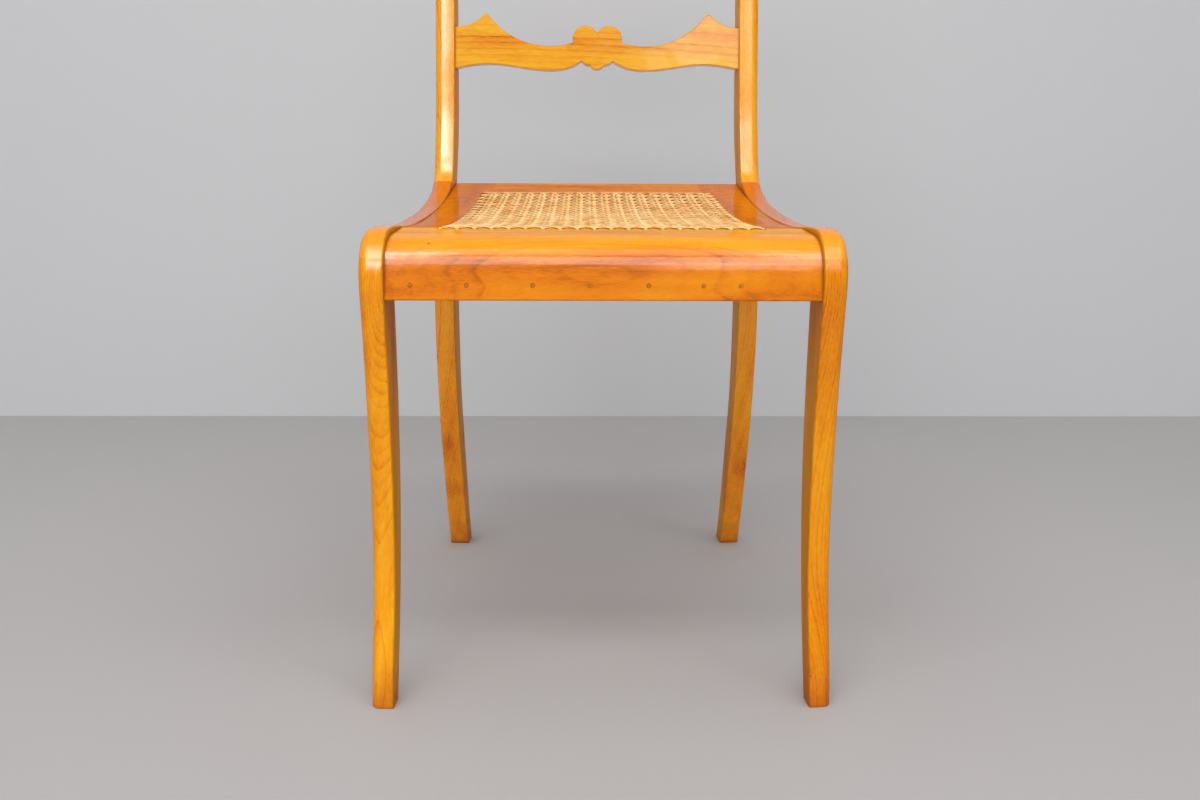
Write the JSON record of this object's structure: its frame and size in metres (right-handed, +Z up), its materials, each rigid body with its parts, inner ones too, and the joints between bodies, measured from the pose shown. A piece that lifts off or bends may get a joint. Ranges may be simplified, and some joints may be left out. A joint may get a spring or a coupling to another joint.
{
  "type": "biedermeier side chair",
  "caption": "Side chair in amber French-polished cherry: sabre legs, side rails sweeping up into the back posts, a sawn splat with a heart, and a dished hand-caned seat.",
  "frame": {"origin": "on the floor, under the middle of the chair's bounding box", "axes": "+X to the right-hand side seen from the front, +Y to the back, +Z up"},
  "size_m": [0.4608, 0.5294, 0.8697],
  "materials": {
    "shellac_cherry": "French-polished, glossy",
    "plug_filler": "filled and polished over",
    "seat_cane": "natural cane, satin",
    "screw_steel": "plain, dull"
  },
  "bodies": {
    "root": {"back_post_left": "shellac_cherry", "back_post_right": "shellac_cherry", "back_splat": "shellac_cherry", "cane_panel": "seat_cane", "corner_block_front_left": "shellac_cherry", "corner_block_front_right": "shellac_cherry", "corner_block_rear_left": "shellac_cherry", "corner_block_rear_right": "shellac_cherry", "crest_rail": "shellac_cherry", "front_leg_left": "shellac_cherry", "front_leg_right": "shellac_cherry", "front_rail": "shellac_cherry", "front_rail_plugs": "plug_filler", "rear_rail": "shellac_cherry", "seat_frame_front": "shellac_cherry", "seat_frame_left": "shellac_cherry", "seat_frame_rear": "shellac_cherry", "seat_frame_right": "shellac_cherry", "seat_screws": "screw_steel", "side_rail_left": "shellac_cherry", "side_rail_right": "shellac_cherry"}
  },
  "joints": []
}
